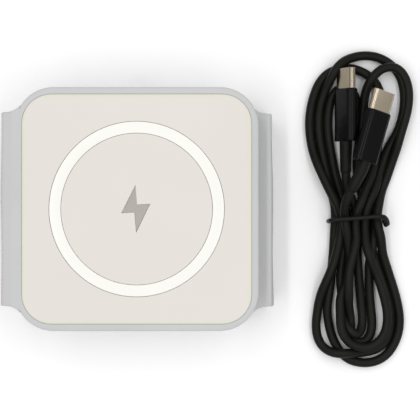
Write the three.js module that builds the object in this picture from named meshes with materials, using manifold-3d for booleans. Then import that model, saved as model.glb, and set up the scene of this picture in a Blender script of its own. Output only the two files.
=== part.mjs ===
// Three-panel folding wireless charger, stored folded in a Z, with its USB-C lead beside it.
// Millimetres, +Z up. The origin is on the table under the middle of the folded pad.
import * as THREE from 'three';
import { mergeVertices } from 'three/addons/utils/BufferGeometryUtils.js';
import Module from 'manifold-3d';

const wasm = await Module();
wasm.setup();

// ---- Driving dimensions ----
const PANEL = 76; // side of one square panel
const CORNER = 12.2; // its corner radius
const THICK = 9; // thickness of one panel
const GAP = 0.3; // clearance kept between separate pieces
const PITCH = THICK + GAP;
const EDGE_ROUND = 0.6; // rounding of the skin's outer edges
const RIM = 2.25; // width of the soft rim around a face plate
const FLOOR = 1.1; // thickness of the skin under the chassis

const WEB = 1.2; // thickness of the soft web between two panels
const OVERHANG = 4.5; // how far a folded web stands out from the panels
const WEB_HALF = 30.2; // half the length of a web
const CREASE_CLEAR = 0.9; // from a crease's axis to the solids on either side of it
const RIBBON = { wide: 11.4, thick: 0.2, slot: 0.7 };

const FACE = { side: PANEL - 2 * RIM, corner: 9.2, bottom: 6.9 };
const CHASSIS = { bottom: 1.4, floor: 0.8, wall: 1.2, top: 6.6 };
const BOARD = { side: 52, bottom: 2.5, top: 3.1 };
const FERRITE = { bottom: 3.6, top: 4.1 };
const COIL = { bottom: 4.4, top: 5.6 };
const SCREW = { at: 30, headR: 1.5, shaftR: 0.75, bottom: 1.5, head: 0.8, top: 7.0 };
const SCREW_HOLE = 1.05;
const CHASSIS_BOSS = { r: 2.6, top: 3.2, bore: 1.8, boreTop: 2.6 };
const FACE_BOSS = { r: 2.2, bottom: 3.5, holeTop: 7.4 };

const RING = { outer: 27.25, inner: 23.65, deep: 0.7 };
const BOLT = [[-0.35, 7.15], [0.1, 1.3], [3.95, 1.55], [-0.15, -7.05], [-0.65, -1.0], [-4.45, -1.25]];
const MARK_DEEP = 0.4;
const PUCK = { r: 16.8, bezelR: 18.8, holeR: 19.1, bottom: 6.3, dish: 0.5 };
const BUDS_MARK = { wide: 40, high: 32, corner: 9, line: 1.2 };
const PORT = { wide: 8.94, high: 3.16, deep: 7.3, wall: 0.3, z: 4.88, tongueWide: 6.7 };
const LIGHT = { r: 0.9, z: 4.9, long: 3.6 };

const CORD = 3; // cable diameter
const HANK_TOP = 6.2;
const TIE = { d: 1.5, y: -3.3, left: 62.2, right: 80.4, low: 0.8, high: 7.5 };
const PLUG = { wide: 9.2, thick: 4.2, body: 17.2, shellWide: 8.25, shellThick: 2.4, shell: 6.65 };
const RELIEF = { root: 2.1, tip: 1.75, long: 10 };
const PLUG_A = { at: [67.1, 39.3, 7.0], lean: 0, roll: 56 };
const PLUG_B = { at: [77.4, 31.7, 10.9], lean: -15.8, roll: -32 };

// ---- Helpers ----
const rad = THREE.MathUtils.degToRad;

function solid(geometry) {
  const bare = geometry.clone();
  bare.deleteAttribute('normal');
  bare.deleteAttribute('uv');
  const merged = mergeVertices(bare, 1e-5);
  const body = new wasm.Mesh({
    numProp: 3,
    vertProperties: new Float32Array(merged.attributes.position.array),
    triVerts: new Uint32Array(merged.index.array),
  });
  return new wasm.Manifold(body);
}

function geometryOf(body) {
  const mesh = body.getMesh();
  const geometry = new THREE.BufferGeometry();
  geometry.setAttribute('position', new THREE.BufferAttribute(new Float32Array(mesh.vertProperties), 3));
  geometry.setIndex(new THREE.BufferAttribute(new Uint32Array(mesh.triVerts), 1));
  geometry.computeVertexNormals();
  return geometry;
}

// A rounded rectangle centred on the origin.
function roundedRect(wide, high, r) {
  const shape = new THREE.Shape();
  const x = wide / 2 - r;
  const y = high / 2 - r;
  shape.absarc(x, y, r, 0, Math.PI / 2, false);
  shape.absarc(-x, y, r, Math.PI / 2, Math.PI, false);
  shape.absarc(-x, -y, r, Math.PI, Math.PI * 1.5, false);
  shape.absarc(x, -y, r, Math.PI * 1.5, Math.PI * 2, false);
  return shape;
}

function polygon(points) {
  return new THREE.Shape(points.map(([x, y]) => new THREE.Vector2(x, y)));
}

// A plate of the given outline from z0 to z1, with its outer edges rounded by `round`.
function plate(shape, z0, z1, round = 0, segments = 3) {
  const geometry = new THREE.ExtrudeGeometry(shape, {
    depth: z1 - z0 - 2 * round,
    bevelEnabled: round > 0,
    bevelThickness: round,
    bevelSize: round,
    bevelOffset: -round,
    bevelSegments: 2,
    curveSegments: segments,
  });
  geometry.translate(0, 0, z0 + round);
  return geometry;
}

function disc(r, z0, z1, x = 0, y = 0, sides = 8) {
  const geometry = new THREE.CylinderGeometry(r, r, z1 - z0, sides);
  geometry.rotateX(Math.PI / 2);
  geometry.translate(x, y, (z0 + z1) / 2);
  return geometry;
}

// A ring of rectangular section about the Z axis.
function annulus(outer, inner, z0, z1, sides = 32) {
  const profile = [[inner, z0], [outer, z0], [outer, z1], [inner, z1], [inner, z0]];
  const geometry = new THREE.LatheGeometry(profile.map(([r, z]) => new THREE.Vector2(r, z)), sides);
  geometry.rotateX(Math.PI / 2);
  return geometry;
}

// A solid of revolution about the Z axis from [radius, z] pairs that start and end on the axis.
function turned(profile, sides = 12) {
  const geometry = new THREE.LatheGeometry(profile.map(([r, z]) => new THREE.Vector2(r, z)), sides);
  geometry.rotateX(Math.PI / 2);
  return geometry;
}

// A slot-shaped prism along Y, from y0 to y1, centred at x = 0 and the given z.
function slotAlongY(wide, high, y0, y1, z) {
  const geometry = plate(roundedRect(wide, high, high / 2 - 0.001), y0, y1, 0, 3);
  geometry.rotateX(-Math.PI / 2);
  geometry.translate(0, 0, z);
  return geometry;
}

function tube(points, radius, steps, sides = 8) {
  const curve = new THREE.CatmullRomCurve3(points.map((p) => new THREE.Vector3(...p)));
  const section = new THREE.Shape();
  for (let i = 0; i < sides; i += 1) {
    const turn = (i / sides) * Math.PI * 2;
    const x = radius * Math.cos(turn);
    const y = radius * Math.sin(turn);
    if (i === 0) section.moveTo(x, y);
    else section.lineTo(x, y);
  }
  return new THREE.ExtrudeGeometry(section, { steps, extrudePath: curve, bevelEnabled: false });
}

const LOOKS = {
  skin: [0xcdd0cf, 0.62, 0],
  face: [0xe5e1da, 0.5, 0],
  ring: [0xf6f3ea, 0.35, 0],
  mark: [0xb4b1a9, 0.6, 0],
  chassis: [0x8c8f90, 0.6, 0],
  board: [0x1f5d3a, 0.5, 0],
  ferrite: [0x3a3a3c, 0.7, 0],
  copper: [0xb9733a, 0.35, 1],
  chip: [0x18181a, 0.5, 0],
  steel: [0xb6b8bb, 0.3, 1],
  magnet: [0xa4a6aa, 0.3, 1],
  puck: [0xf2f2f0, 0.3, 0],
  lamp: [0xe8eef0, 0.25, 0],
  ribbon: [0xb07a2c, 0.4, 0],
  cord: [0x161613, 0.45, 0],
  plug: [0x141414, 0.3, 0],
  shell: [0xb9ae9c, 0.25, 1],
};

function named(name, look, geometry) {
  const [color, roughness, metalness] = LOOKS[look];
  const material = new THREE.MeshStandardMaterial({ color, roughness, metalness });
  const mesh = new THREE.Mesh(geometry, material);
  mesh.name = name;
  return mesh;
}

// ---- One panel, face up, with its underside at z = 0 ----

// The tab of skin that leads to a web. It leaves the panel's side in a hollow curve.
function webTab(side, z0) {
  const end = PANEL / 2 + OVERHANG - WEB / 2 - CREASE_CLEAR;
  const shape = new THREE.Shape();
  shape.moveTo(30, -34.5);
  shape.lineTo(34.2, -34.5);
  shape.quadraticCurveTo(36.6, -30.6, end, -WEB_HALF);
  shape.lineTo(end, WEB_HALF);
  shape.quadraticCurveTo(36.6, 30.6, 34.2, 34.5);
  shape.lineTo(30, 34.5);
  const geometry = plate(shape, z0, z0 + WEB);
  if (side < 0) geometry.rotateZ(Math.PI);
  return geometry;
}

function skinBody(tabs) {
  let body = solid(plate(roundedRect(PANEL, PANEL, CORNER), 0, THICK, EDGE_ROUND, 4));
  for (const [side, z0] of tabs) body = body.add(solid(webTab(side, z0)));
  const mouth = FACE.side + 2 * GAP;
  return body.subtract(solid(plate(roundedRect(mouth, mouth, FACE.corner + GAP), FLOOR, THICK + 1, 0, 4)));
}

const screwPlaces = [[1, 1], [-1, 1], [-1, -1], [1, -1]].map(([x, y]) => [x * SCREW.at, y * SCREW.at]);

function chassisBody() {
  const { bottom, floor, wall, top } = CHASSIS;
  const inner = FACE.side - 2 * wall;
  let body = solid(plate(roundedRect(FACE.side, FACE.side, FACE.corner), bottom, top));
  const hollow = plate(roundedRect(inner, inner, FACE.corner - wall), bottom + floor, top + 1);
  body = body.subtract(solid(hollow));
  for (const [x, y] of screwPlaces) {
    body = body.add(solid(disc(CHASSIS_BOSS.r, bottom, CHASSIS_BOSS.top, x, y, 8)));
  }
  for (const [x, y] of screwPlaces) {
    body = body.subtract(solid(disc(CHASSIS_BOSS.bore, bottom - 1, CHASSIS_BOSS.boreTop, x, y)));
    body = body.subtract(solid(disc(SCREW_HOLE, bottom - 1, CHASSIS_BOSS.top + 1, x, y)));
  }
  return body;
}

function faceBody() {
  let body = solid(plate(roundedRect(FACE.side, FACE.side, FACE.corner), FACE.bottom, THICK, 0.3, 4));
  for (const [x, y] of screwPlaces) {
    body = body.add(solid(disc(FACE_BOSS.r, FACE_BOSS.bottom, FACE.bottom + 1, x, y)));
  }
  for (const [x, y] of screwPlaces) {
    body = body.subtract(solid(disc(SCREW_HOLE, FACE_BOSS.bottom - 1, FACE_BOSS.holeTop, x, y)));
  }
  return body;
}

function screwGeometry() {
  const { headR, shaftR, bottom, head, top } = SCREW;
  const neck = bottom + head;
  return turned([[0, bottom], [headR, bottom], [headR, neck], [shaftR, neck], [shaftR, top], [0, top]], 8);
}

function commonPieces(name, { tabs, face, chassis, skin, coilOuter, coilInner, ferrite }) {
  const cut = (body, cutters) => cutters.reduce((kept, cutter) => kept.subtract(solid(cutter)), body);
  const group = new THREE.Group();
  group.add(
    named(`${name}_skin`, 'skin', geometryOf(cut(skinBody(tabs), skin))),
    named(`${name}_chassis`, 'chassis', geometryOf(cut(chassisBody(), chassis))),
    named(`${name}_face_plate`, 'face', geometryOf(cut(faceBody(), face))),
    named(`${name}_circuit_board`, 'board',
      plate(roundedRect(BOARD.side, BOARD.side, 4), BOARD.bottom, BOARD.top, 0, 3)),
    named(`${name}_ferrite_sheet`, 'ferrite', disc(ferrite, FERRITE.bottom, FERRITE.top, 0, 0, 16)),
    named(`${name}_charging_coil`, 'copper', annulus(coilOuter, coilInner, COIL.bottom, COIL.top, 24)),
    named(`${name}_controller_chip`, 'chip', plate(roundedRect(4, 4, 0.4), 0, 0.9, 0, 2)),
  );
  const chip = group.children[group.children.length - 1];
  chip.position.set(22.6, -22.6, BOARD.top + 0.1);
  screwPlaces.forEach(([x, y], i) => {
    const screw = named(`${name}_screw_${i + 1}`, 'steel', screwGeometry());
    screw.position.set(x, y, 0);
    group.add(screw);
  });
  return group;
}

// ---- The three panels ----

function phonePanel() {
  const grown = polygon(BOLT.map(([x, y]) => [x * 1.16, y * 1.1]));
  const group = commonPieces('phone', {
    tabs: [[-1, THICK - WEB]],
    face: [
      annulus(RING.outer + GAP, RING.inner - GAP, THICK - RING.deep - GAP, THICK + 1, 48),
      plate(grown, THICK - MARK_DEEP - GAP, THICK + 1),
    ],
    chassis: [],
    skin: [],
    coilOuter: 20.5,
    coilInner: 8,
    ferrite: 22,
  });
  group.add(
    named('phone_ring_inlay', 'ring', annulus(RING.outer, RING.inner, THICK - RING.deep, THICK, 48)),
    named('phone_bolt_mark', 'mark', plate(polygon(BOLT), THICK - MARK_DEEP, THICK)),
    named('phone_magnet_ring', 'magnet', annulus(RING.outer, RING.inner, FERRITE.bottom, 6.4, 32)),
  );
  group.position.z = 2 * PITCH;
  return group;
}

function watchPanel() {
  const { r, bezelR, holeR, bottom, dish } = PUCK;
  const group = commonPieces('watch', {
    tabs: [[-1, 0], [1, THICK - WEB]],
    face: [disc(holeR, FACE.bottom - 1, THICK + 1, 0, 0, 36)],
    chassis: [],
    skin: [],
    coilOuter: 13.5,
    coilInner: 7,
    ferrite: 15,
  });
  const rimTop = THICK - 0.2;
  const dished = [[0, bottom], [r, bottom], [r, rimTop], [r * 0.75, rimTop - dish * 0.6], [0, rimTop - dish]];
  group.add(
    named('watch_puck', 'puck', turned(dished, 36)),
    named('watch_puck_bezel', 'steel', annulus(bezelR, r + GAP, FACE.bottom, THICK, 36)),
    named('watch_magnet', 'magnet', disc(5, COIL.bottom, COIL.top + 0.3, 0, 0, 16)),
  );
  group.rotation.y = Math.PI;
  group.position.z = PITCH + THICK;
  return group;
}

function basePanel() {
  const { wide, high, deep, wall, z, tongueWide } = PORT;
  const outer = PANEL / 2;
  const portHole = slotAlongY(wide + 2 * GAP, high + 2 * GAP, outer - 6, outer + 1, z);
  const lightHole = disc(LIGHT.r + GAP, -3, 6, 0, 0, 12);
  lightHole.rotateX(Math.PI / 2);
  lightHole.translate(0, -outer + 1, LIGHT.z);
  const { wide: markWide, high: markHigh, corner, line } = BUDS_MARK;
  const markRing = (grow) => {
    const shape = roundedRect(markWide + 2 * grow, markHigh + 2 * grow, corner + grow);
    const inset = 2 * (line + grow);
    shape.holes.push(roundedRect(markWide - inset, markHigh - inset, corner - line - grow));
    return shape;
  };
  const group = commonPieces('base', {
    tabs: [[1, 0]],
    face: [plate(markRing(GAP), THICK - MARK_DEEP - GAP, THICK + 1)],
    chassis: [portHole, lightHole],
    skin: [portHole, lightHole],
    coilOuter: 18,
    coilInner: 7,
    ferrite: 20,
  });
  const front = outer - 0.2;
  const shell = slotAlongY(wide, high, front - deep, front, z);
  const bore = slotAlongY(wide - 2 * wall, high - 2 * wall, front - deep - 1, front + 1, z);
  const tongue = new THREE.BoxGeometry(tongueWide, deep - 1.2, 0.7);
  tongue.translate(0, front - deep / 2 - 0.4, z);
  const pipe = disc(LIGHT.r, 0, LIGHT.long, 0, 0, 12);
  pipe.rotateX(Math.PI / 2);
  pipe.translate(0, -outer + 0.1 + LIGHT.long, LIGHT.z);
  const inductor = plate(roundedRect(7, 7, 1.4), BOARD.top + 0.1, BOARD.top + 3.1, 0.3, 3);
  inductor.translate(-20.5, 20.5, 0);
  group.add(
    named('base_buds_mark', 'mark', plate(markRing(0), THICK - MARK_DEEP, THICK)),
    named('usb_c_port_shell', 'steel', geometryOf(solid(shell).subtract(solid(bore)))),
    named('usb_c_port_tongue', 'chip', tongue),
    named('status_light_pipe', 'lamp', pipe),
    named('base_power_inductor', 'ferrite', inductor),
  );
  return group;
}

// ---- The webs: upright strips between two creases, each with a flat cable through it ----

function webStrip(name, side, lowCrease) {
  const x = side * (PANEL / 2 + OVERHANG - WEB / 2);
  const z0 = lowCrease + CREASE_CLEAR;
  const z1 = lowCrease + 2 * THICK + GAP - WEB - CREASE_CLEAR;
  const strip = new THREE.BoxGeometry(WEB, 2 * WEB_HALF, z1 - z0);
  const slot = new THREE.BoxGeometry(RIBBON.slot, RIBBON.wide + 2 * GAP, z1 - z0 + 2);
  const ribbon = new THREE.BoxGeometry(RIBBON.thick, RIBBON.wide, z1 - z0 - 0.2);
  const group = new THREE.Group();
  group.add(
    named(`${name}_hinge_web`, 'skin', geometryOf(solid(strip).subtract(solid(slot)))),
    named(`${name}_flat_cable`, 'ribbon', ribbon),
  );
  group.position.set(x, 0, (z0 + z1) / 2);
  return group;
}

// ---- The USB-C to USB-C lead ----

const HANK_OUTLINE = [
  [78.7, -3.3], [80.2, 5], [85, 18], [88.8, 31], [89.2, 40], [84, 48.6], [73, 51.7], [62, 48],
  [55.7, 38], [54.7, 29], [57, 17], [62, 6], [63.9, -3.3], [62, -12], [57.8, -25], [56.1, -36],
  [60, -45.5], [72, -51.5], [82, -46], [85.7, -34], [84.5, -22], [80.5, -11],
];

function hankGeometry() {
  const around = new THREE.CatmullRomCurve3(HANK_OUTLINE.map(([x, y]) => new THREE.Vector3(x, y, 0)), true);
  const outline = new THREE.Shape(around.getPoints(48).slice(0, -1).map((p) => new THREE.Vector2(p.x, p.y)));
  const box = (x0, x1, y0, y1, z0, z1) => {
    const geometry = new THREE.BoxGeometry(x1 - x0, y1 - y0, z1 - z0);
    geometry.translate((x0 + x1) / 2, (y0 + y1) / 2, (z0 + z1) / 2);
    return solid(geometry);
  };
  const pocket = 2.0; // floor of the hollow between the strands where the left plug lies
  const above = HANK_TOP + 1;
  return geometryOf(
    solid(plate(outline, 0, HANK_TOP))
      .subtract(box(55, 90, TIE.y - 1.1, TIE.y + 1.1, -1, TIE.low + TIE.d / 2 + GAP))
      .subtract(box(62, 72.2, 21.6, 60, pocket, above))
      .subtract(box(64.6, 69.8, 0, 21.8, pocket, above)),
  );
}

function plugPieces(name, { at, lean, roll }) {
  const { wide, thick, body, shellWide, shellThick, shell } = PLUG;
  const shellWall = 0.3;
  const bodySolid = slotAlongY(wide, thick, -body, 0, 0);
  const shellSolid = solid(slotAlongY(shellWide, shellThick, GAP, shell, 0));
  const mouth = slotAlongY(shellWide - 2 * shellWall, shellThick - 2 * shellWall, 0, shell + 1, 0);
  const insert = solid(slotAlongY(7.1, 1.25, GAP + 0.2, shell - 0.8, 0));
  const slot = slotAlongY(6.7, 0.7, GAP + 1, shell + 1, 0);
  const relief = turned([
    [0, 0], [RELIEF.tip, 0], [RELIEF.root, RELIEF.long * 0.7], [RELIEF.root, RELIEF.long], [0, RELIEF.long],
  ], 12);
  relief.rotateX(-Math.PI / 2);
  relief.translate(0, -body - GAP - RELIEF.long, 0);
  const rolled = new THREE.Group();
  rolled.add(
    named(`${name}_body`, 'plug', bodySolid),
    named(`${name}_metal_shell`, 'shell', geometryOf(shellSolid.subtract(solid(mouth)))),
    named(`${name}_contact_insert`, 'chip', geometryOf(insert.subtract(solid(slot)))),
    named(`${name}_strain_relief`, 'plug', relief),
  );
  rolled.rotation.y = rad(-roll);
  const placed = new THREE.Group();
  placed.add(rolled);
  placed.rotation.z = rad(lean);
  placed.position.set(...at);
  return placed;
}

function cable() {
  const group = new THREE.Group();
  const { d, y, left, right, low, high } = TIE;
  const tiePath = [
    [right + 0.2, y + 1.4, 3.4], [right, y + 0.8, low + 0.5], [right - 2, y + 0.3, low],
    [left + 2, y, low], [left, y, low + 1.6], [left, y, high - 1.6], [left + 2, y, high],
    [right - 2, y, high], [right, y - 0.3, high - 1.4], [right + 0.2, y - 0.8, 4.4],
  ];
  group.add(
    named('cable_hank', 'cord', hankGeometry()),
    named('cable_lead_a', 'cord',
      tube([[67.1, 11.5, 7.0], [67.15, 9, 6.8], [67.2, 5, 6.1], [67.2, 1.9, 5.6]], CORD / 2, 5)),
    named('cable_lead_b', 'cord',
      tube([[69.8, 4.75, 10.85], [69.3, 3.1, 10.4], [68.8, 1.2, 9.3], [68.4, -0.6, 8.4]], CORD / 2, 5)),
    named('cable_tie', 'cord', tube(tiePath, d / 2, 26, 8)),
    plugPieces('plug_a', PLUG_A),
    plugPieces('plug_b', PLUG_B),
  );
  return group;
}

const charger = new THREE.Group();
charger.add(
  basePanel(),
  webStrip('right', 1, WEB / 2),
  watchPanel(),
  webStrip('left', -1, PITCH + WEB / 2),
  phonePanel(),
  cable(),
);

export default charger;
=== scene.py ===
"""Looks for the folding wireless charger and its tied USB-C cable, in metres, in the CAD frame."""
import bpy
import bmesh
import math
import numpy as np
from mathutils import Matrix, Vector


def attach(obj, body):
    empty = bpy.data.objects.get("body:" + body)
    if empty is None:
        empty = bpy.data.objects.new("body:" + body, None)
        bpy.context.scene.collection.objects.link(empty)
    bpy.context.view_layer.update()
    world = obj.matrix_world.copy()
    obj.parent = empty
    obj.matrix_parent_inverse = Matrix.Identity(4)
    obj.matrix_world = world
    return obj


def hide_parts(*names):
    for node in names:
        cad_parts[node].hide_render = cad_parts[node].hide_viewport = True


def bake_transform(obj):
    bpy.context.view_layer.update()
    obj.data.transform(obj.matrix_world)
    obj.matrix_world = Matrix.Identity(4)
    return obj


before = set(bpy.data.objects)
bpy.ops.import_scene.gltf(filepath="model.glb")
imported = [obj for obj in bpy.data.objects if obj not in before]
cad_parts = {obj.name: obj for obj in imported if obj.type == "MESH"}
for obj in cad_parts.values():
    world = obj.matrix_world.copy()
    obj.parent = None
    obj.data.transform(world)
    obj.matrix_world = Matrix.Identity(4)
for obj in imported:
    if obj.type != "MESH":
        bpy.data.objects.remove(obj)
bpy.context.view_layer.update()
MM = 0.001

# ---- Sizes, in millimetres, as in the CAD ----
PANEL = 76.0
CORNER = 12.2
THICK = 9.0
PITCH = 9.3
FOLDED = 2 * PITCH + THICK
RIM = 2.25
FACE_SIDE = PANEL - 2 * RIM
FACE_CORNER = 9.2
FLOOR = 1.1
SEAM = 0.3
SNUG = 0.05  # gap between pieces that lie against each other
SKIN_EDGE_LOW, SKIN_EDGE_TOP, SKIN_LIP = 1.3, 0.75, 0.2
PLATE_LOW, PLATE_EDGE = 6.9, 0.9

WEB = 1.2
WEB_OUT = 42.5
WEB_HALF = 30.2
WEB_START, WEB_BEND = 36.3, 0.85  # where a web leaves its panel, and its crease's middle radius
WEB_FLUSH = 0.008  # how far a web's tab stands off its skin's face
TAB_IN, TAB_OUT, TAB_FLARE = 34.6, 41.0, 4.4
LEFT_SWELL, RIGHT_SWELL = -0.15, 0.3
RIGHT_GROW = (0.9, 0.3)

RING_OUT, RING_IN = 27.25, 23.65
RING_LOW, RING_TOP = THICK - 0.7, THICK - 0.03
RING_GAP, RING_DEEP = 0.13, 0.72
BOLT = [(-0.35, 7.15), (0.1, 1.3), (3.95, 1.55), (-0.15, -7.05), (-0.65, -1.0), (-4.45, -1.25)]
BOLT_LOW, BOLT_TOP = THICK - 0.4, THICK - 0.05
BOLT_GAP_X, BOLT_GAP_Y, BOLT_DEEP = 1.09, 1.05, 0.5
PUCK_R, BEZEL_R, PUCK_HOLE_R = 16.8, 18.8, 19.1
PUCK_LOW, PUCK_TOP, PUCK_DISH = 6.3, 8.8, 0.5
MARK_WIDE, MARK_HIGH, MARK_CORNER, MARK_LINE = 40.0, 32.0, 9.0, 1.2
MARK_LOW, MARK_TOP = THICK - 0.4, THICK - 0.04
MARK_DEEP, MARK_GAP = 0.55, 0.15
PORT_WIDE, PORT_HIGH, PORT_DEEP, PORT_Z = 8.94, 3.16, 7.3, 4.88
PORT_Y, PORT_WALL, PORT_ROOM = 37.8, 0.3, 0.5
LIGHT_R, LIGHT_Z = 1.1, 4.9

CORD_D = 3.0
TIE_R = 0.75
WAIST_Y, WAIST_REACH = -3.3, 2.2
PLUG_WIDE, PLUG_THICK, PLUG_LONG = 9.2, 4.2, 17.2
SHELL_WIDE, SHELL_THICK, SHELL_WALL = 8.25, 2.4, 0.28
SHELL_START, SHELL_LONG = -0.3, 6.65
INSERT_WIDE, INSERT_THICK, SLOT_WIDE, SLOT_THICK = 7.55, 1.75, 6.7, 0.8
RELIEF_ROOT_R, RELIEF_TIP_R = 2.1, 1.8
SEAM_HALF, SEAM_HIGH = 0.32, 0.1  # ridge where the plug's two mould halves meet

# Where each plug's body meets its shell, its lean about Z and its roll about its own length.
PLUG_A = ((67.1, 39.3, 7.0), 0.0, 56.0)
PLUG_B = ((77.4, 31.7, 10.9), -15.8, -32.0)

# ---- Camera ----
EYE = (22.8, -0.3, 450.0)
LENS = 116.5
SENSOR = 36.0

# ---- Floor and light, in metres ----
FLOOR_HALF, FLOOR_Z = 1.5, -0.0004
SKY_LOW, SKY_HIGH, SKY_STRENGTH = (0.42, 0.42, 0.43, 1.0), (1.0, 1.0, 1.0, 1.0), 0.88
LAMP_AWAY, LAMP_MIDDLE, LAMP_HIGH = 0.34, (0.04, 0.05), 1.0
LAMP_SIZE = (0.11, 1.3)
LAMP_POWER = {-1: 2.5, 1: 2.2}

# A Mix node in colour mode takes its colours from these sockets.
MIX_A, MIX_B, MIX_RESULT = 6, 7, 2


def make_camera():
    data = bpy.data.cameras.new("camera")
    data.lens = LENS
    data.sensor_width = SENSOR
    data.clip_start = 0.02
    data.clip_end = 20.0
    camera = bpy.data.objects.new("camera", data)
    camera.location = Vector(EYE) * MM
    bpy.context.scene.collection.objects.link(camera)
    bpy.context.scene.camera = camera


# ---- Node materials ----

class Shader:
    """A Principled material with short helpers for its procedural detail."""

    def __init__(self, name, rough=0.5, metal=0.0, specular=0.5, coat=0.0, coat_rough=0.2, sheen=0.0):
        self.material = bpy.data.materials.new(name)
        self.material.use_nodes = True
        self.tree = self.material.node_tree
        self.bsdf = self.tree.nodes["Principled BSDF"]
        self.bsdf.inputs["Roughness"].default_value = rough
        self.bsdf.inputs["Metallic"].default_value = metal
        self.bsdf.inputs["Specular IOR Level"].default_value = specular
        self.bsdf.inputs["Coat Weight"].default_value = coat
        self.bsdf.inputs["Coat Roughness"].default_value = coat_rough
        self.bsdf.inputs["Sheen Weight"].default_value = sheen
        self.where = self.node("ShaderNodeTexCoord").outputs["Object"]

    def node(self, kind, **values):
        made = self.tree.nodes.new(kind)
        for key, value in values.items():
            setattr(made, key, value)
        return made

    def link(self, a, b):
        self.tree.links.new(a, b)

    def noise(self, scale, detail=3.0, rough=0.5, stretch=None):
        made = self.node("ShaderNodeTexNoise")
        made.inputs["Scale"].default_value = scale
        made.inputs["Detail"].default_value = detail
        made.inputs["Roughness"].default_value = rough
        self.link(self.stretched(stretch), made.inputs["Vector"])
        return made.outputs["Fac"]

    def stretched(self, stretch):
        if stretch is None:
            return self.where
        mapping = self.node("ShaderNodeMapping")
        mapping.inputs["Scale"].default_value = stretch
        self.link(self.where, mapping.inputs["Vector"])
        return mapping.outputs["Vector"]

    def ramp(self, fac, stops):
        made = self.node("ShaderNodeValToRGB")
        while len(made.color_ramp.elements) < len(stops):
            made.color_ramp.elements.new(0.5)
        for element, (place, colour) in zip(made.color_ramp.elements, stops):
            element.position = place
            element.color = (*linear(colour), 1.0)
        self.link(fac, made.inputs["Fac"])
        return made.outputs["Color"]

    def band(self, axis, low, high):
        """0 to 1 as the distance from the middle along an axis goes from low to high millimetres."""
        parts = self.node("ShaderNodeSeparateXYZ")
        self.link(self.where, parts.inputs["Vector"])
        away = self.node("ShaderNodeMath", operation="ABSOLUTE")
        self.link(parts.outputs[axis], away.inputs[0])
        spread = self.node("ShaderNodeMapRange", interpolation_type="SMOOTHSTEP")
        spread.inputs["From Min"].default_value = low * MM
        spread.inputs["From Max"].default_value = high * MM
        self.link(away.outputs["Value"], spread.inputs["Value"])
        return spread.outputs["Result"]

    def larger(self, a, b):
        made = self.node("ShaderNodeMath", operation="MAXIMUM")
        self.link(a, made.inputs[0])
        self.link(b, made.inputs[1])
        return made.outputs["Value"]

    def mix(self, fac, a, b):
        made = self.node("ShaderNodeMix", data_type="RGBA")
        self.link(fac, made.inputs["Factor"])
        self.link(a, made.inputs[MIX_A])
        self.link(b, made.inputs[MIX_B])
        return made.outputs[MIX_RESULT]

    def colour(self, fac, stops):
        self.link(self.ramp(fac, stops), self.bsdf.inputs["Base Color"])
        return self

    def roughness(self, fac, low, high):
        spread = self.node("ShaderNodeMapRange")
        spread.inputs["To Min"].default_value = low
        spread.inputs["To Max"].default_value = high
        self.link(fac, spread.inputs["Value"])
        self.link(spread.outputs["Result"], self.bsdf.inputs["Roughness"])
        return self

    def bump(self, *heights):
        """Bumps from (height socket, strength, distance in metres), the first one applied first."""
        normal = None
        for height, strength, distance in heights:
            made = self.node("ShaderNodeBump")
            made.inputs["Strength"].default_value = strength
            made.inputs["Distance"].default_value = distance
            self.link(height, made.inputs["Height"])
            if normal is not None:
                self.link(normal, made.inputs["Normal"])
            normal = made.outputs["Normal"]
        self.link(normal, self.bsdf.inputs["Normal"])
        return self


def linear(colour):
    """sRGB numbers from 0 to 255 as scene-linear ones."""
    out = []
    for c in colour:
        c /= 255
        out.append(c / 12.92 if c <= 0.04045 else ((c + 0.055) / 1.055) ** 2.4)
    return out


def skin_material():
    s = Shader("soft_skin_silicone", rough=0.62, specular=0.35, sheen=0.12)
    rim = s.ramp(s.noise(35, 4), [(0.3, (189, 191, 190)), (0.7, (195, 196, 195))])
    flap = s.ramp(s.noise(45, 4, stretch=(1, 0.25, 1)), [(0.3, (187, 187, 187)), (0.7, (192, 192, 192))])
    # The darker colour beyond 42.15 mm in X is painted shade along the outer face of each web's crease.
    crease_painted_shade = s.ramp(s.noise(160, 3), [(0.3, (166, 167, 167)), (0.7, (176, 177, 177))])
    skin = s.mix(s.band("X", 38.4, 39.4), rim, flap)
    skin = s.mix(s.band("X", 42.15, 42.45), skin, crease_painted_shade)
    s.link(skin, s.bsdf.inputs["Base Color"])
    s.roughness(s.noise(420, 2), 0.55, 0.7)
    return s.bump((s.noise(5200, 2), 0.12, 0.00005), (s.noise(900, 3), 0.06, 0.0001)).material


def face_material():
    s = Shader("cream_face_plastic", rough=0.5, specular=0.4)
    middle = s.ramp(s.noise(22, 3), [(0.3, (216, 211, 205)), (0.7, (219, 215, 208))])
    edge = s.ramp(s.noise(30, 2), [(0.3, (214, 212, 198)), (0.7, (217, 215, 202))])
    near = s.larger(s.band("X", 33.4, 35.4), s.band("Y", 33.4, 35.4))
    s.link(s.mix(near, middle, edge), s.bsdf.inputs["Base Color"])
    s.roughness(s.noise(260, 3), 0.44, 0.56)
    return s.bump((s.noise(4200, 2), 0.1, 0.00004)).material


def ring_material():
    s = Shader("white_ring_plastic", rough=0.35, specular=0.5)
    s.colour(s.noise(30, 3), [(0.3, (236, 235, 229)), (0.7, (239, 238, 232))])
    s.roughness(s.noise(300, 3), 0.3, 0.42)
    return s.bump((s.noise(3000, 2), 0.05, 0.00003)).material


def plain(name, dark, light, low, high, scale=60, grain=2500, strength=0.15, **shader):
    s = Shader(name, **shader)
    s.colour(s.noise(scale, 4), [(0.3, dark), (0.7, light)])
    s.roughness(s.noise(scale * 6, 3), low, high)
    return s.bump((s.noise(grain, 3), strength, 0.00005)).material


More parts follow.
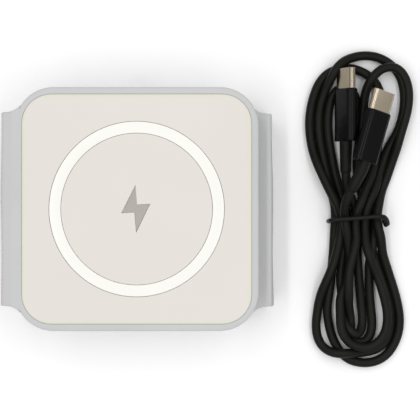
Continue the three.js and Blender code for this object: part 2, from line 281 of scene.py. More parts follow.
def cord_material():
    s = Shader("black_cable_jacket", rough=0.46, specular=0.12)
    s.colour(s.noise(70, 4), [(0.3, (18, 19, 15)), (0.7, (25, 25, 21))])
    s.roughness(s.noise(400, 3), 0.36, 0.5)
    return s.bump((s.noise(2600, 3), 0.18, 0.00006), (s.noise(240, 2), 0.1, 0.0002)).material


def brushed(name, dark, light, low, high, stretch):
    s = Shader(name, metal=1.0)
    s.colour(s.noise(80, 3), [(0.3, dark), (0.7, light)])
    fine = s.noise(900, 3, stretch=stretch)
    s.roughness(fine, low, high)
    return s.bump((fine, 0.03, 0.00002)).material


def coil_material():
    s = Shader("wound_copper", rough=0.35, metal=1.0)
    wave = s.node("ShaderNodeTexWave", wave_type="RINGS", rings_direction="Z")
    wave.inputs["Scale"].default_value = 330
    wave.inputs["Distortion"].default_value = 0.15
    s.link(s.where, wave.inputs["Vector"])
    s.colour(wave.outputs["Fac"], [(0.0, (92, 48, 24)), (1.0, (206, 132, 78))])
    s.roughness(s.noise(300, 2), 0.25, 0.4)
    return s.bump((wave.outputs["Fac"], 0.6, 0.0002)).material


def board_material():
    s = Shader("solder_mask", rough=0.35, coat=0.4)
    cells = s.node("ShaderNodeTexVoronoi", feature="DISTANCE_TO_EDGE")
    cells.inputs["Scale"].default_value = 260
    s.link(s.where, cells.inputs["Vector"])
    s.colour(cells.outputs["Distance"], [(0.0, (60, 120, 78)), (0.06, (24, 84, 48))])
    s.roughness(s.noise(500, 2), 0.3, 0.45)
    return s.bump((cells.outputs["Distance"], 0.2, 0.0001)).material


MATERIALS = {
    "skin": skin_material(),
    "face": face_material(),
    "ring": ring_material(),
    "mark": plain("grey_mark", (166, 163, 156), (173, 170, 163), 0.5, 0.62, specular=0.3),
    "chassis": plain("chassis_abs", (132, 135, 136), (144, 147, 148), 0.5, 0.65, specular=0.35),
    "board": board_material(),
    "ferrite": plain("sintered_ferrite", (40, 40, 42), (58, 58, 60), 0.6, 0.8, grain=1500, strength=0.3),
    "copper": coil_material(),
    "chip": plain("moulded_chip", (18, 18, 19), (26, 26, 27), 0.45, 0.6),
    "steel": brushed("plated_steel", (168, 168, 170), (196, 196, 198), 0.22, 0.36, (1, 1, 8)),
    "magnet": brushed("nickel_plate", (160, 162, 165), (186, 188, 190), 0.2, 0.32, (4, 1, 1)),
    "bezel": brushed("turned_aluminium", (188, 188, 190), (212, 212, 214), 0.22, 0.34, (1, 1, 12)),
    "puck": plain("glossy_puck", (243, 243, 240), (248, 248, 246), 0.2, 0.28, grain=900, strength=0.04,
                  coat=0.3),
    "lamp": plain("frosted_light_pipe", (224, 232, 236), (236, 242, 244), 0.3, 0.45),
    "ribbon": plain("polyimide_film", (176, 118, 40), (196, 136, 52), 0.3, 0.42),
    "cord": cord_material(),
    "plug": plain("black_plug_moulding", (6, 6, 6), (10, 10, 9), 0.14, 0.2, grain=3200, strength=0.05,
                  specular=0.12),
    "relief": plain("strain_relief_rubber", (12, 12, 10), (18, 18, 16), 0.42, 0.55, grain=2200,
                    specular=0.14),
    "tie": plain("tie_rubber", (12, 12, 10), (18, 18, 16), 0.36, 0.48, grain=2200, specular=0.18),
    # Plug A's shell is a darker copy of the same plated metal as plug B's: painted shade, standing in for
    # the dark cable that it reflects.
    "shell_a": brushed("plug_a_shell_metal_painted_dark_reflection", (140, 131, 115), (156, 146, 129), 0.14, 0.2, (5, 0.4, 5)),
    "shell_b": brushed("plug_b_shell_metal", (178, 166, 146), (196, 183, 162), 0.14, 0.2, (5, 0.4, 5)),
}


# ---- Mesh helpers ----

def new_object(name, mesh, material):
    made = bpy.data.objects.new(name, mesh)
    bpy.context.scene.collection.objects.link(made)
    if material:
        made.data.materials.clear()
        made.data.materials.append(MATERIALS[material])
    return made


def smooth(made, angle=38):
    for face in made.data.polygons:
        face.use_smooth = True
    made.data.set_sharp_from_angle(angle=math.radians(angle))
    return made


def loft(name, rings, material, closed=False, angle=38):
    """Skins rings of equal length, points in millimetres. An open loft gets one face at each end."""
    mesh = bmesh.new()
    rows = [[mesh.verts.new(Vector(p) * MM) for p in ring] for ring in rings]
    pairs = list(zip(rows, rows[1:])) + ([(rows[-1], rows[0])] if closed else [])
    count = len(rows[0])
    for a, b in pairs:
        for i in range(count):
            j = (i + 1) % count
            mesh.faces.new((a[i], a[j], b[j], b[i]))
    if not closed:
        for row in (rows[0], rows[-1]):
            mesh.faces.new(row)
    bmesh.ops.recalc_face_normals(mesh, faces=mesh.faces)
    data = bpy.data.meshes.new(name)
    mesh.to_mesh(data)
    mesh.free()
    return smooth(new_object(name, data, material), angle)


def rounded_square(side, corner, z, steps=12, high=None):
    """Points round a rounded rectangle at height z, square unless high gives its size along Y."""
    half = side / 2
    tall = (high or side) / 2
    points = []
    for quarter, (sx, sy) in enumerate([(1, 1), (-1, 1), (-1, -1), (1, -1)]):
        for i in range(steps + 1):
            turn = math.pi / 2 * (quarter + i / steps)
            x = sx * (half - corner) + corner * math.cos(turn)
            y = sy * (tall - corner) + corner * math.sin(turn)
            points.append((x, y, z))
    return points


def quarter_edge(radius, start, end, steps=5):
    """(inset, drop) pairs round a quarter circle edge, between two angles in degrees."""
    out = []
    for i in range(steps + 1):
        turn = math.radians(start + (end - start) * i / steps)
        out.append((radius * (1 - math.cos(turn)), radius * (1 - math.sin(turn))))
    return out


def lathe(name, profile, material, segments=128, angle=38):
    """Turns [radius, z] pairs, a closed outline in millimetres, about the Z axis."""
    rings = []
    for i in range(segments):
        turn = 2 * math.pi * i / segments
        rings.append([(r * math.cos(turn), r * math.sin(turn), z) for r, z in profile])
    return loft(name, rings, material, closed=True, angle=angle)


def cut(target, cutter):
    """Takes the cutter's shape out of the target, and deletes the cutter."""
    modifier = target.modifiers.new("cut", "BOOLEAN")
    modifier.operation = "DIFFERENCE"
    modifier.solver = "EXACT"
    modifier.object = cutter
    graph = bpy.context.evaluated_depsgraph_get()
    data = bpy.data.meshes.new_from_object(target.evaluated_get(graph))
    target.modifiers.clear()
    old = target.data
    target.data = data
    bpy.data.meshes.remove(old)
    bpy.data.objects.remove(cutter)
    return smooth(target)


def place(made, flip=False, lift=0.0):
    """Moves a panel's piece to its level. The watch panel lies face down."""
    turn = Matrix.Rotation(math.pi, 4, "Y") if flip else Matrix.Identity(4)
    made.data.transform(Matrix.Translation((0, 0, lift * MM)) @ turn)
    return made


LEVELS = {
    "base": dict(lift=0.0),
    "watch": dict(lift=PITCH + THICK, flip=True),
    "phone": dict(lift=2 * PITCH),
}


# ---- Panels ----

def skin_shell(name):
    """A soft tray: rounded outside edges, a flat rim, a small lip and straight inner walls."""
    rings = []
    for inset, drop in quarter_edge(SKIN_EDGE_LOW, 90, 0):
        rings.append(rounded_square(PANEL - 2 * inset, CORNER - inset, drop))
    for inset, drop in quarter_edge(SKIN_EDGE_TOP, 0, 90):
        rings.append(rounded_square(PANEL - 2 * inset, CORNER - inset, THICK - drop))
    mouth = FACE_SIDE + 2 * SNUG
    corner = FACE_CORNER + SNUG
    for inset, drop in reversed(quarter_edge(SKIN_LIP, 0, 90, 3)):
        rings.append(rounded_square(mouth + 2 * inset, corner + inset, THICK - drop))
    rings.append(rounded_square(mouth, corner, FLOOR))
    return loft(name, rings, "skin")


def web_half(name, side, tab_z, outward, stop_z, swell, grow):
    """Half a folded web: a tab level with tab_z, a crease at the outside and a strip to stop_z.

    outward is +1 where the strip goes up from the tab and -1 where it goes down. swell
    moves the outside face out, and grow lengthens the web at its -Y and +Y ends."""
    out_x = WEB_OUT - WEB / 2
    turn_x = out_x - WEB_BEND
    path = [(x, tab_z, 0.0, outward) for x in np.linspace(WEB_START, turn_x, 9)]
    for turn in np.linspace(0, math.pi / 2, 9)[1:]:
        z = tab_z + outward * WEB_BEND * (1 - math.cos(turn))
        path.append((turn_x + WEB_BEND * math.sin(turn), z, math.sin(turn), outward * math.cos(turn)))
    for z in np.linspace(tab_z + outward * WEB_BEND, stop_z, 8)[1:]:
        path.append((out_x, z, 1.0, 0.0))
    rings = []
    for x, z, across_x, across_z in path:
        wave = 0.12 * math.sin(0.55 * z + 1.3) if x > TAB_OUT else 0.0
        normal = (across_x, -across_z)
        rings.append(web_section(x, z, normal, tab_half(x) + wave, side, swell, grow))
    return loft(name, rings, "skin")


def tab_half(x):
    """Half the tab's length along Y: wide at the panel, falling in a hollow curve to the web's."""
    if x >= TAB_OUT:
        return WEB_HALF
    t = (TAB_OUT - x) / (TAB_OUT - TAB_IN)
    return WEB_HALF + TAB_FLARE * t ** 2.4


def web_section(x, z, normal, half, side, swell, grow):
    """A slot-shaped section across the web, its long way along Y and its thickness along normal."""
    r = WEB / 2
    straight = np.linspace(r - half, half - r, 25)
    ends = [math.pi * i / 6 for i in range(1, 6)]
    ring = [(y, r) for y in straight]
    ring += [(half - r + r * math.sin(turn), r * math.cos(turn)) for turn in ends]
    ring += [(-y, -r) for y in straight]
    ring += [(r - half - r * math.sin(turn), -r * math.cos(turn)) for turn in ends]
    points = []
    for y, n in ring:
        bow = 0.14 * math.sin(y * 0.16 + 0.8) - 0.008 * y * (side > 0)
        bow = (swell + bow) * normal[0] * (0.5 + 0.5 * n / r)
        y += grow[1] * max(0.0, y / half) - grow[0] * max(0.0, -y / half)
        points.append((side * (x + bow + n * normal[0]), y, z + n * normal[1]))
    return points


def face_plate(name):
    """A plate with a broad, shallow edge: its quarter circle is stretched inwards and flattened."""
    wider, flatter = 1.6, 0.28
    rings = [rounded_square(FACE_SIDE, FACE_CORNER, PLATE_LOW)]
    for inset, drop in quarter_edge(PLATE_EDGE, 0, 90, 7):
        inset *= wider
        rings.append(rounded_square(FACE_SIDE - 2 * inset, FACE_CORNER - inset, THICK - drop * flatter))
    return loft(name, rings, "face", angle=50)


def ring_groove(outer, inner, depth):
    profile = [(inner, THICK - depth), (outer, THICK - depth), (outer, THICK + 1), (inner, THICK + 1)]
    return lathe("groove_cutter", profile, None)


def rounded_band(outer, inner, low, top, edge=0.18):
    """A band's outline with softly rounded top edges."""
    profile = [(inner, low), (outer, low)]
    for inset, drop in quarter_edge(edge, 0, 90, 4):
        profile.append((outer - inset, top - drop))
    for inset, drop in quarter_edge(edge, 90, 0, 4):
        profile.append((inner + inset, top - drop))
    return profile


def prism(name, outline, low, top, material, bevel=0.0):
    rings = [[(x, y, low) for x, y in outline], [(x, y, top) for x, y in outline]]
    made = loft(name, rings, material)
    if bevel:
        modifier = made.modifiers.new("edge", "BEVEL")
        modifier.width = bevel * MM
        modifier.segments = 3
        modifier.limit_method = "ANGLE"
        graph = bpy.context.evaluated_depsgraph_get()
        data = bpy.data.meshes.new_from_object(made.evaluated_get(graph))
        made.modifiers.clear()
        made.data = data
        smooth(made)
    return made


def finish_piece(made, body, node):
    """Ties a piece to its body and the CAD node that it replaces."""
    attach(made, body)
    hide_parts(node)
    return made


def phone_panel():
    level = LEVELS["phone"]
    plate = face_plate("phone_face")
    plate = cut(plate, ring_groove(RING_OUT + RING_GAP, RING_IN - RING_GAP, RING_DEEP))
    grown = [(x * BOLT_GAP_X, y * BOLT_GAP_Y) for x, y in BOLT]
    plate = cut(plate, prism("bolt_cutter", grown, THICK - BOLT_DEEP, THICK + 1, None))
    finish_piece(place(plate, **level), "phone_module", "phone_face_plate")
    band = lathe("phone_ring", rounded_band(RING_OUT, RING_IN, RING_LOW, RING_TOP), "ring")
    finish_piece(place(band, **level), "phone_module", "phone_ring_inlay")
    bolt = prism("phone_bolt", BOLT, BOLT_LOW, BOLT_TOP, "mark", bevel=0.08)
    finish_piece(place(bolt, **level), "phone_module", "phone_bolt_mark")


def watch_panel():
    level = LEVELS["watch"]
    plate = face_plate("watch_face")
    plate = cut(plate, prism("puck_hole", circle(PUCK_HOLE_R, 128), PLATE_LOW - 1, THICK + 1, None))
    finish_piece(place(plate, **level), "watch_module", "watch_face_plate")
    bezel = lathe("watch_bezel", rounded_band(BEZEL_R, PUCK_R + 0.25, PLATE_LOW, THICK, 0.35), "bezel")
    finish_piece(place(bezel, **level), "watch_module", "watch_puck_bezel")
    puck = lathe("watch_charging_puck", puck_profile(), "puck")
    finish_piece(place(puck, **level), "watch_module", "watch_puck")


def puck_profile():
    """A disc with a softened edge and a dished top. Its outline stops just short of the axis."""
    hub = 0.02
    profile = [(hub, PUCK_LOW), (PUCK_R, PUCK_LOW), (PUCK_R, PUCK_TOP - 0.3)]
    profile += [(PUCK_R - 0.1, PUCK_TOP - 0.1), (PUCK_R - 0.4, PUCK_TOP)]
    for t in np.linspace(0.06, 1, 14):
        profile.append((PUCK_R * (1 - t) + hub, PUCK_TOP - PUCK_DISH * math.sin(math.pi / 2 * t)))
    return profile


def base_panel():
    level = LEVELS["base"]
    plate = face_plate("base_face")
    plate = cut(plate, rounded_frame("mark_cutter", MARK_GAP, THICK - MARK_DEEP, THICK + 1, None))
    finish_piece(place(plate, **level), "base_module", "base_face_plate")
    mark = rounded_frame("base_mark", 0.0, MARK_LOW, MARK_TOP, "mark")
    finish_piece(place(mark, **level), "base_module", "base_buds_mark")
    port = slot_tube("charging_port", PORT_WIDE, PORT_HIGH, PORT_WALL, PORT_Y - PORT_DEEP, PORT_Y, "steel")
    port.data.transform(Matrix.Translation((0, 0, PORT_Z * MM)))
    finish_piece(port, "base_module", "usb_c_port_shell")


def rounded_frame(name, grow, low, top, material):
    """The outline of a rounded rectangle as a thin raised band."""
    wide, high, corner = MARK_WIDE + 2 * grow, MARK_HIGH + 2 * grow, MARK_CORNER + grow
    line = MARK_LINE + 2 * grow
    outer = (wide, high, corner)
    inner = (wide - 2 * line, high - 2 * line, corner - line)
    rings = []
    for (w, h, c), z in ((outer, low), (outer, top), (inner, top), (inner, low)):
        rings.append(rounded_square(w, c, z, 10, high=h))
    return loft(name, rings, material, closed=True)


def circle(radius, steps):
    """Points round a circle."""
    turns = np.linspace(0, 2 * math.pi, steps, endpoint=False)
    return [(radius * math.cos(turn), radius * math.sin(turn)) for turn in turns]


def stadium(wide, thick, steps=12):
    """Points (x, z) round a slot shape."""
    r = thick / 2
    points = []
    for side in (1, -1):
        for i in range(steps + 1):
            turn = side * -math.pi / 2 + math.pi * i / steps
            points.append((side * (wide / 2 - r) + r * math.cos(turn), r * math.sin(turn)))
    return points


def slot_tube(name, wide, thick, wall, y0, y1, material):
    """A hollow slot-shaped sleeve along Y, with a rounded mouth at y1."""
    rings = []
    for grow, y in ((0, y0), (0, y1 - 0.12), (-0.05, y1 - 0.03), (-0.12, y1),
                    (0.1 - wall, y1), (-wall, y1 - 0.12), (-wall, y0)):
        rings.append([(x, y, z) for x, z in stadium(wide + 2 * grow, thick + 2 * grow)])
    return loft(name, rings, material, closed=True, angle=28)


def soft_skins():
    """Each panel's skin, and the halves of the webs that grow out of them, each shaped with a crease."""
    for panel in ("phone", "watch", "base"):
        skin = place(skin_shell(f"{panel}_soft_skin"), **LEVELS[panel])
        if panel == "base":
            skin = open_ports(skin)
        finish_piece(skin, f"{panel}_module", f"{panel}_skin")
    left_mid = PITCH + THICK + SEAM / 2
    right_mid = THICK + SEAM / 2
    for name, side, level, up, stop, body in (
        ("left_web_upper", -1, FOLDED - WEB / 2 + WEB_FLUSH, -1, left_mid, "phone_module"),
        ("left_web_lower", -1, PITCH + WEB / 2 - WEB_FLUSH, 1, left_mid, "watch_module"),
        ("right_web_upper", 1, PITCH + THICK - WEB / 2 + WEB_FLUSH, -1, right_mid, "watch_module"),
        ("right_web_lower", 1, WEB / 2, 1, right_mid, "base_module"),
    ):
        swell, grow = (LEFT_SWELL, (0.0, 0.0)) if side < 0 else (RIGHT_SWELL, RIGHT_GROW)
        half = web_half(name, side, level, up, stop, swell, grow)
        web = name.rsplit("_", 1)[0]
        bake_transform(half)
        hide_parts(web.replace("web", "hinge_web"))


def open_ports(skin):
    """The openings in the base's skin for the port and the light."""
    inside, outside = 33, 39
    port = [(x, z + PORT_Z) for x, z in stadium(PORT_WIDE + PORT_ROOM, PORT_HIGH + PORT_ROOM)]
    light = [(x, z + LIGHT_Z) for x, z in circle(LIGHT_R, 32)]
    for hole, side in ((port, 1), (light, -1)):
        cutter = loft("opening", [[(x, side * y, z) for x, z in hole] for y in (inside, outside)], None)
        skin = cut(skin, cutter)
    return skin


# ---- The cable ----
# Waist to waist, the ten runs are joined by four upper arches and five lower loops. Points are
# (x, y, z) in millimetres, where the hank lies beside the pad.

LEAD_A = [(67.1, 12.2, 7.0), (67.4, 8.5, 6.6), (68.6, 4.5, 5.2), (70.4, 1.0, 3.8)]
LEAD_B = [(66.8, -3.0, 6.4), (66.6, 0.4, 7.9), (67.2, 3.4, 9.6), (68.5, 6.3, 10.7)]
LOOP_5 = [
    (71.5, -4.1, 3.2), (71.3, -11.3, 2.2), (71.5, -17.3, 1.6), (72.0, -24.2, 2.0), (72.6, -30.9, 4.0),
    (73.1, -37.2, 4.2), (72.4, -41.2, 4.2), (70.3, -42.2, 4.0), (68.2, -39.4, 2.0), (67.0, -34.0, 1.6),
    (66.4, -29.0, 1.6), (66.2, -22.8, 1.6), (66.9, -14.6, 2.0), (68.0, -7.7, 3.2),
]
ARCH_INNER = [
    (68.1, -1.9, 3.2), (66.2, 3.5, 1.6), (63.5, 11.8, 1.6), (62.0, 20.0, 1.6), (61.6, 28.3, 1.6),
    (62.0, 34.3, 1.6), (63.8, 38.7, 1.6), (67.1, 40.9, 1.6), (70.1, 39.3, 1.6), (71.5, 34.9, 1.6),
    (71.7, 28.3, 1.6), (72.3, 20.0, 1.6), (73.9, 11.8, 1.6), (76.0, 4.1, 2.4), (76.9, -1.7, 3.2),
]
LOOP_4 = [
    (76.6, -7.7, 3.2), (75.9, -14.0, 2.2), (75.3, -21.5, 1.6), (75.4, -27.8, 1.6), (75.9, -33.3, 1.6),
    (76.4, -38.4, 1.6), (75.6, -42.4, 1.6), (73.4, -44.6, 1.6), (70.6, -43.8, 1.6), (68.3, -39.6, 1.8),
    (67.2, -31.5, 3.0), (67.4, -26.0, 4.4), (68.3, -20.0, 4.6), (69.6, -13.9, 5.5), (70.4, -7.7, 6.0),
]
ARCH_LEFT = [
    (70.2, -1.4, 6.0), (72.7, 3.8, 5.5), (75.5, 9.5, 4.6), (77.7, 16.6, 4.5), (78.5, 24.0, 4.5),
    (79.3, 30.9, 4.0), (79.6, 35.9, 2.5), (78.3, 40.4, 1.8), (75.6, 43.7, 1.6), (71.7, 45.9, 1.6),
    (67.9, 46.8, 1.6), (62.9, 45.6, 1.6), (59.4, 42.3, 1.6), (57.0, 37.1, 1.6), (55.7, 31.0, 1.6),
    (55.8, 25.5, 1.6), (58.2, 16.2, 2.5), (61.9, 6.3, 4.0), (65.4, -0.8, 6.0),
]
LOOP_1 = [
    (65.8, -7.7, 6.1), (64.6, -13.1, 5.4), (62.8, -19.5, 4.2), (60.4, -26.1, 3.0), (58.5, -32.5, 1.8),
    (57.7, -38.2, 1.6), (58.2, -42.9, 1.8), (60.4, -46.1, 2.5), (63.5, -47.4, 4.4), (67.1, -47.3, 4.4),
    (71.0, -47.2, 3.0), (75.3, -46.9, 1.6), (79.2, -45.4, 1.6), (82.0, -41.8, 1.6), (83.0, -36.6, 1.6),
    (82.5, -31.1, 1.6), (80.5, -25.6, 1.6), (78.1, -18.7, 1.6), (75.8, -12.7, 2.2), (74.8, -7.7, 3.2),
]
ARCH_RIGHT = [
    (74.8, -1.7, 3.2), (73.2, 4.9, 3.0), (71.6, 11.7, 3.6), (71.6, 19.9, 1.9), (72.4, 28.1, 1.7),
    (73.0, 34.1, 2.4), (74.1, 39.4, 4.4), (76.5, 43.8, 4.8), (79.8, 46.6, 4.8), (83.6, 46.9, 4.8),
    (86.3, 44.3, 4.6), (87.8, 40.0, 4.4), (87.9, 35.0, 4.4), (87.0, 30.3, 4.2), (85.4, 25.4, 4.0),
    (83.4, 19.2, 3.0), (81.5, 12.9, 2.5), (79.4, 6.8, 4.0), (77.9, 2.2, 5.5), (77.5, -1.4, 6.0),
]
LOOP_2 = [
    (77.4, -6.3, 5.6), (78.0, -9.0, 5.2), (79.4, -15.3, 4.2), (81.7, -22.2, 3.0), (83.4, -28.8, 2.5),
    (84.6, -35.2, 2.0), (84.5, -41.0, 1.8), (82.7, -46.3, 1.6), (78.9, -49.8, 1.6), (73.9, -50.9, 1.6),
    (68.7, -49.5, 1.6), (65.3, -46.5, 1.6), (63.2, -42.9, 1.6), (62.0, -38.0, 1.6), (61.2, -32.5, 1.6),
    (61.7, -27.2, 1.6), (62.9, -19.5, 1.6), (63.7, -13.2, 2.0), (64.4, -7.7, 3.0),
]
ARCH_TOP = [
    (64.6, -1.7, 3.0), (63.3, 4.9, 1.8), (60.5, 15.1, 1.6), (58.7, 24.2, 1.6), (58.7, 31.0, 1.6),
    (59.9, 37.0, 2.2), (61.9, 42.3, 4.4), (64.9, 47.0, 4.4), (69.2, 49.8, 2.2), (74.2, 50.8, 1.6),
    (78.9, 49.9, 1.8), (82.4, 47.8, 2.0), (85.2, 44.8, 1.6), (86.7, 40.9, 1.6), (87.1, 36.5, 1.6),
    (86.6, 31.6, 1.6), (85.2, 26.1, 1.8), (82.9, 21.4, 2.5), (80.0, 15.8, 4.0), (77.6, 9.0, 5.2),
    (75.6, 4.1, 6.0), (73.7, -1.4, 6.1),
]
LOOP_3 = [
    (73.6, -6.3, 6.1), (73.7, -10.4, 5.8), (75.5, -16.7, 5.0), (78.3, -23.2, 4.4), (80.2, -29.5, 4.2),
    (81.3, -35.0, 4.2), (80.7, -40.2, 4.2), (78.3, -44.0, 4.4), (74.7, -45.9, 4.6), (70.9, -45.9, 4.6),
    (67.9, -43.5, 4.4), (66.2, -39.1, 4.4), (65.7, -34.5, 4.4), (66.2, -29.5, 4.4), (67.6, -24.1, 4.4),
    (68.4, -18.6, 4.6), (68.6, -13.1, 5.4), (67.4, -7.7, 6.0),
]
ROUTE = (LEAD_A + LOOP_5 + ARCH_INNER + LOOP_4 + ARCH_LEFT + LOOP_1 + ARCH_RIGHT + LOOP_2
         + ARCH_TOP + LOOP_3 + LEAD_B)


def smooth_line(points, step):
    """A Catmull-Rom line through the points, resampled every step."""
    p = np.array(points, float)
    p = np.vstack([2 * p[0] - p[1], p, 2 * p[-1] - p[-2]])
    line = []
    for i in range(1, len(p) - 2):
        for t in np.linspace(0, 1, 12, endpoint=False):
            a, b, c, d = p[i - 1], p[i], p[i + 1], p[i + 2]
            line.append(0.5 * (2 * b + (c - a) * t + (2 * a - 5 * b + 4 * c - d) * t ** 2
                               + (3 * b - a - 3 * c + d) * t ** 3))
    line.append(p[-2])
    line = np.array(line)
    run = np.concatenate([[0], np.cumsum(np.linalg.norm(np.diff(line, axis=0), axis=1))])
    places = np.linspace(0, run[-1], int(run[-1] / step) + 1)
    return np.column_stack([np.interp(places, run, line[:, k]) for k in range(3)])


def settle(line, rounds=260):
    """Pushes runs of the cable apart until none lies in another, and lets them down onto the table."""
    apart, share, longest = CORD_D * 1.02, 0.28, 0.5
    tether, fall = 0.04, 0.012
    held_ends, same_run = 8.0, 5
    home = line.copy()
    points = line.copy()
    count = len(points)
    index = np.arange(count)
    free = np.clip(np.minimum(index, count - 1 - index) / held_ends, 0.0, 1.0)[:, None]
    far = np.abs(index[:, None] - index[None, :]) > same_run
    for _ in range(rounds):
        gap = points[:, None, :] - points[None, :, :]
        distance = np.linalg.norm(gap, axis=2) + 1e-6
        close = (distance < apart) & far
        push = np.where(close, (apart - distance) / distance, 0.0)
        move = (gap * push[:, :, None]).sum(axis=1) * share
        size = np.linalg.norm(move, axis=1, keepdims=True)
        move *= np.minimum(1.0, longest / np.maximum(size, 1e-6))
        points += move
        for amount in (0.45, -0.40):  # smooths without shrinking
            even = points.copy()
            even[1:-1] = 0.5 * (points[:-2] + points[2:])
            points += amount * (even - points)
        points[:, :2] += tether * (home[:, :2] - points[:, :2])
        points[:, 2] -= fall
        points[:, 2] = np.maximum(points[:, 2], CORD_D / 2 + 0.05)
        points = home + free * (points - home)
    return points


def tube_mesh(name, line, radius, material, sides=16, round_ends=True):
    """A tube along a line in millimetres, untwisted, with domed ends. radius may be a list."""
    line = np.array(line, float)
    tangent = np.gradient(line, axis=0)
    tangent /= np.linalg.norm(tangent, axis=1, keepdims=True)
    radii = np.full(len(line), radius) if np.isscalar(radius) else np.array(radius, float)
    side = np.cross(tangent[0], (0.31, 0.17, 0.94))
    side /= np.linalg.norm(side)
    rings = []
    for point, along, r in zip(line, tangent, radii):
        side = side - along * side.dot(along)
        side /= np.linalg.norm(side)
        rings.append((point, side, np.cross(along, side), r))
    if round_ends:
        rings = dome(rings[0], -tangent[0])[::-1] + rings + dome(rings[-1], tangent[-1])
    turns = [2 * math.pi * k / sides for k in range(sides)]
    skin = []
    for point, side, up, r in rings:
        skin.append([tuple(point + r * (math.cos(a) * side + math.sin(a) * up)) for a in turns])
    return loft(name, skin, material, angle=70)


def dome(ring, outward):
    """Three smaller rings beyond a tube's last one."""
    point, side, up, r = ring
    turns = [math.pi / 2 * k / 4 for k in range(1, 4)]
    return [(point + outward * math.sin(a) * r, side, up, r * math.cos(a)) for a in turns]


def make_cable():
    """The whole cable with its plugs and tie, along the route once its runs have settled."""
    line = settle(smooth_line(ROUTE, 2.0))
    line = smooth_line(line, 1.25)
    cord = tube_mesh("usb_cable", line, CORD_D / 2, "cord", sides=16, round_ends=False)
    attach(cord, "cable")
    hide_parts("cable_hank", "cable_lead_a", "cable_lead_b")
    plugs = make_plug("a", line[0], line[1], *PLUG_A)
    plugs += make_plug("b", line[-1], line[-2], *PLUG_B)
    tie = make_tie(line)


def make_tie(line):
    """A round rubber tie about the waist, its two ends crossing on the right."""
    waist = line[np.abs(line[:, 1] - WAIST_Y) < WAIST_REACH]
    reach = CORD_D / 2 + TIE_R
    low = TIE_R + SNUG
    left = waist[:, 0].min() - reach - SNUG
    right = waist[:, 0].max() + reach + SNUG
    top = waist[:, 2].max() + reach
    points = [
        (right + 0.5, -5.2, 4.0), (right + 0.4, -4.4, 2.2), (right - 0.6, -3.9, low + 0.2),
        (right - 4, -3.6, low), (left + 3, -3.9, low), (left + 0.3, -4.0, low + 1.2),
        (left, -3.9, (low + top) / 2), (left + 0.4, -3.7, top - 1.2), (left + 2.4, -3.4, top - 0.2),
        ((left + right) / 2, -2.9, top), (right - 3, -2.4, top - 0.1), (right - 0.7, -2.6, top - 0.9),
        (right + 0.4, -3.6, top - 2.4), (right + 0.9, -4.8, top - 4.0),
    ]
    tie = tube_mesh("cable_tie_band", smooth_line(points, 0.6), TIE_R, "tie", sides=14)
    return finish_piece(tie, "cable", "cable_tie")


def make_plug(mark, cord_end, cord_next, at, lean, roll):
    """One USB-C plug: moulded body, plated shell, contact insert and strain relief."""
    spin = Matrix.Rotation(math.radians(-roll), 4, "Y")
    turn = Matrix.Rotation(math.radians(lean), 4, "Z")
    where = Matrix.Translation(Vector(at) * MM) @ turn @ spin
    pieces = []
    for piece, node, slot in (
        (plug_moulding(f"plug_{mark}_moulding"), "body", "plug_plastic"),
        # Each plug takes its own shell material; plug A's is darkened with painted shade.
        (plug_shell(f"plug_{mark}_shell", f"shell_{mark}"), "metal_shell", "plug_metal"),
        (contact_insert(f"plug_{mark}_contacts"), "contact_insert", "chip_plastic"),
    ):
        piece.data.transform(where)
        pieces.append(finish_piece(piece, "cable", f"plug_{mark}_{node}"))
    root = where @ Vector((0, -PLUG_LONG * MM, 0))
    return pieces + [strain_relief(mark, root, where, cord_end, cord_next)]


def plug_moulding(name):
    """A slot-shaped block along Y with rounded ends, its front at Y = 0."""
    rings = []
    for grow, y in ((-0.55, -PLUG_LONG), (-0.22, -PLUG_LONG + 0.08), (0, -PLUG_LONG + 0.35),
                    (0, -0.55), (-0.1, -0.28), (-0.32, -0.08), (-0.6, 0.0)):
        rings.append([(x, y, z) for x, z in body_section(PLUG_WIDE + 2 * grow, PLUG_THICK + 2 * grow)])
    return loft(name, rings, "plug", angle=32)


def plug_shell(name, material):
    return slot_tube(name, SHELL_WIDE, SHELL_THICK, SHELL_WALL, SHELL_START, SHELL_LONG, material)


def body_section(wide, thick, steps=10):
    """A slot shape with a fine ridge along each rounded side, where the two mould halves meet."""
    points = []
    for x, z in stadium(wide, thick, steps * 2):
        edge = max(0.0, 1 - abs(z) / SEAM_HALF) * SEAM_HIGH
        points.append((x + math.copysign(edge, x), z))
    return points


def contact_insert(name):
    """A dark moulded lining with a slot for the port's tongue."""
    rings = []
    for grow, y in ((0, 0.3), (0, 5.7), (-0.06, 5.85)):
        rings.append([(x, y, z) for x, z in stadium(INSERT_WIDE + 2 * grow, INSERT_THICK + 2 * grow)])
    for grow, y in ((0.025, 5.85), (0, 5.7), (0, 1.2)):
        rings.append([(x, y, z) for x, z in stadium(SLOT_WIDE + 2 * grow, SLOT_THICK + 2 * grow)])
    return loft(name, rings, "chip")


def strain_relief(mark, root, where, cord_end, cord_next):
    """A tapered sleeve that bends from the plug's axis to the cable's own direction."""
    root = np.array(root) / MM
    back = np.array((where.to_3x3() @ Vector((0, -1, 0))).normalized())
    end = np.array(cord_end, float)
    onward = np.array(cord_next, float) - end
    onward /= np.linalg.norm(onward)
    pull = 0.38 * np.linalg.norm(end - root)
    a, b = root - back * 0.5, root + back * pull
    c, d = end - onward * pull, end + onward * 0.4
    line, radii = [], []
    for t in np.linspace(0, 1, 44):
        s = 1 - t
        line.append(s ** 3 * a + 3 * t * s ** 2 * b + 3 * t ** 2 * s * c + t ** 3 * d)
        radii.append(RELIEF_ROOT_R * s + RELIEF_TIP_R * t)
    radii[-3:] = [1.77, 1.7, 1.56]  # the rounded lip round the cable
    made = tube_mesh(f"plug_{mark}_relief", line, radii, "relief", sides=24, round_ends=False)
    return finish_piece(made, "cable", f"plug_{mark}_strain_relief")


# ---- Materials for the CAD nodes that stay ----

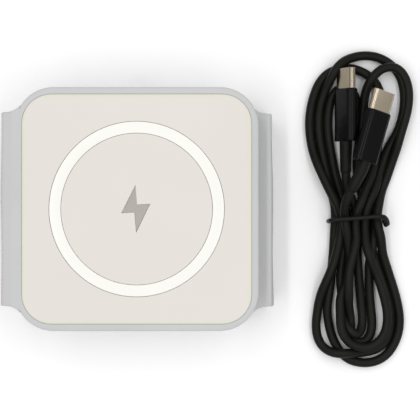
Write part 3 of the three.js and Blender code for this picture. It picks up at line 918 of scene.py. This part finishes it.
def dress_nodes():
    """Gives each CAD node that is still seen the material that goes with its name."""
    rules = [
        ("_chassis", "chassis"), ("_circuit_board", "board"), ("_ferrite_sheet", "ferrite"),
        ("_charging_coil", "copper"), ("_controller_chip", "chip"), ("_screw_", "steel"),
        ("magnet", "magnet"), ("light_pipe", "lamp"), ("inductor", "ferrite"),
        ("port_tongue", "chip"), ("flat_cable", "ribbon"),
    ]
    for name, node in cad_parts.items():
        for part, material in rules:
            if part in name:
                node.data.materials.clear()
                node.data.materials.append(MATERIALS[material])
                break


# ---- Floor and light ----

def make_sky():
    """A studio sky, dimmer at the horizon than overhead."""
    world = bpy.data.worlds.new("studio")
    bpy.context.scene.world = world
    world.use_nodes = True
    tree = world.node_tree
    background = tree.nodes["Background"]
    background.inputs["Strength"].default_value = SKY_STRENGTH
    where = tree.nodes.new("ShaderNodeTexCoord")
    parts = tree.nodes.new("ShaderNodeSeparateXYZ")
    sky = tree.nodes.new("ShaderNodeValToRGB")
    low, high = sky.color_ramp.elements
    low.position, low.color = 0.0, SKY_LOW
    high.position, high.color = 0.75, SKY_HIGH
    tree.links.new(where.outputs["Generated"], parts.inputs["Vector"])
    tree.links.new(parts.outputs["Z"], sky.inputs["Fac"])
    tree.links.new(sky.outputs["Color"], background.inputs["Color"])


def make_floor():
    data = bpy.data.meshes.new("floor")
    corners = [(x * FLOOR_HALF, y * FLOOR_HALF, FLOOR_Z) for x, y in ((-1, -1), (1, -1), (1, 1), (-1, 1))]
    data.from_pydata(corners, [], [(0, 1, 2, 3)])
    s = Shader("pale_floor", rough=0.7, specular=0.2)
    s.colour(s.noise(3, 2), [(0.3, (250, 250, 250)), (0.7, (253, 253, 253))])
    s.bump((s.noise(900, 2), 0.03, 0.0001))
    floor = new_object("floor", data, None)
    floor.data.materials.append(s.material)


def make_lamps():
    """A long strip lamp over each side, tilted to face the object."""
    for side, power in LAMP_POWER.items():
        light = bpy.data.lights.new("strip", "AREA")
        light.shape = "RECTANGLE"
        light.size, light.size_y = LAMP_SIZE
        light.energy = power
        lamp = bpy.data.objects.new("strip", light)
        lamp.location = (side * LAMP_AWAY + LAMP_MIDDLE[0], LAMP_MIDDLE[1], LAMP_HIGH)
        lamp.rotation_euler = (0, math.atan2(side * LAMP_AWAY, LAMP_HIGH), 0)
        bpy.context.scene.collection.objects.link(lamp)


make_camera()
make_cable()
soft_skins()
phone_panel()
watch_panel()
base_panel()
dress_nodes()
make_sky()
make_floor()
make_lamps()
bpy.context.scene.view_settings.view_transform = "Standard"
